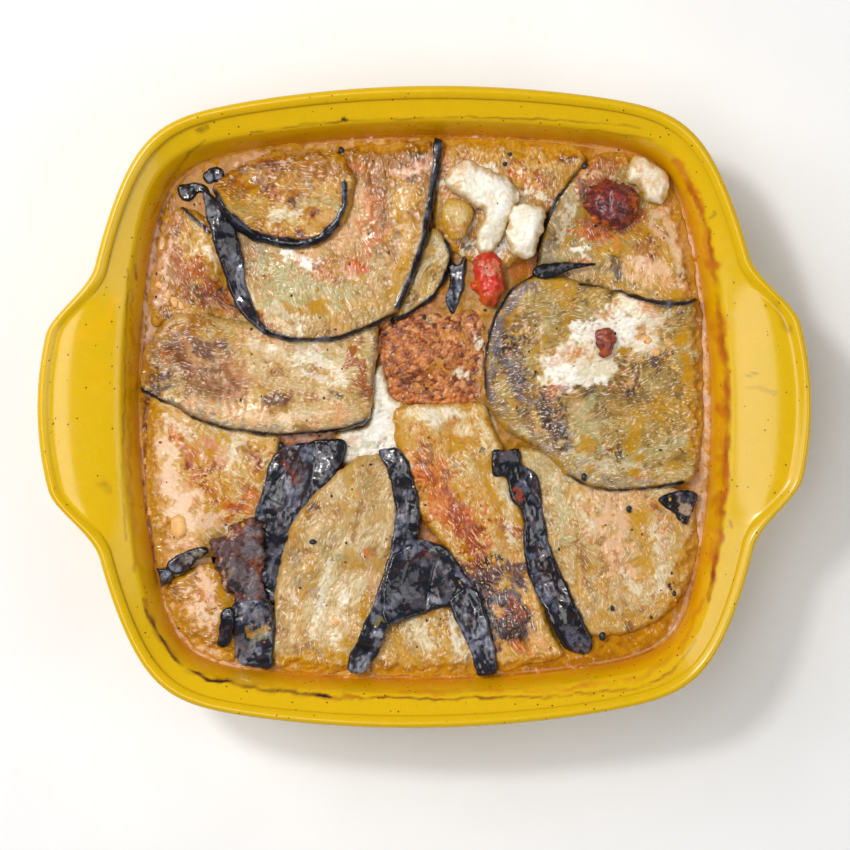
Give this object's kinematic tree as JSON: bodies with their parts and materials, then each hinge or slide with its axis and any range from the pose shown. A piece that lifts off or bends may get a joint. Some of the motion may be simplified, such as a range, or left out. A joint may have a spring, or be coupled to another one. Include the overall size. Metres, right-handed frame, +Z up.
{
  "type": "moussaka in baking dish",
  "caption": "Moussaka of browned aubergine slices over mince, with soft cheese, tomato and juice, in a square glazed baking dish with side handles.",
  "frame": {"origin": "centre of the whole part's base, on the plane of the dish's foot ring", "axes": "+X from handle to handle, +Y towards the far side of the dish, +Z up"},
  "size_m": [0.291, 0.2414, 0.065],
  "materials": {
    "yellow_glaze": "glossy",
    "aubergine_flesh": "moist",
    "aubergine_seared": "moist",
    "aubergine_olive": "moist",
    "aubergine_skin": "glossy",
    "charred": "moist",
    "soft_cheese": "moist",
    "browned_mince": "moist",
    "tomato": "moist",
    "tomato_browned": "moist",
    "amber_juice": "glossy"
  },
  "bodies": {
    "root": {"baking_dish": "yellow_glaze", "cooking_juice": "amber_juice", "mince_filling": "browned_mince", "soft_cheese_centre": "soft_cheese", "slice_top_centre": "aubergine_seared", "slice_left": "aubergine_seared", "slice_lower_left": "aubergine_flesh", "slice_upper_right": "aubergine_olive", "slice_lower_right": "aubergine_flesh", "slice_bottom_left": "aubergine_flesh", "slice_bottom_centre": "aubergine_flesh", "slice_centre": "aubergine_seared", "slice_mid_left": "aubergine_seared", "skin_lower_left": "aubergine_skin", "slice_lower_centre": "aubergine_flesh", "sliver_upper_left": "aubergine_flesh", "slice_upper_left": "aubergine_flesh", "slice_right": "aubergine_olive", "skin_middle": "aubergine_skin", "skin_bottom_centre": "aubergine_skin", "skin_bottom_strip": "aubergine_skin", "skin_lower_right": "aubergine_skin", "skin_flap_left": "aubergine_skin", "slice_small_upper_left": "aubergine_flesh", "skin_curl_left": "aubergine_skin", "skin_flake_top": "aubergine_skin", "charred_piece": "charred", "skin_bottom_left": "aubergine_skin", "skin_flake_bottom": "aubergine_skin", "skin_flake_left": "aubergine_skin", "skin_flake_grey": "aubergine_skin", "skin_triangle": "aubergine_skin", "skin_leaf": "aubergine_skin", "skin_bundle": "aubergine_skin", "cheese_upper": "soft_cheese", "cheese_upper_right": "soft_cheese", "cheese_corner": "soft_cheese", "tomato_browned": "tomato_browned", "tomato_piece": "tomato", "flesh_fragment": "aubergine_seared", "tomato_bit_right": "tomato_browned"}
  },
  "joints": []
}
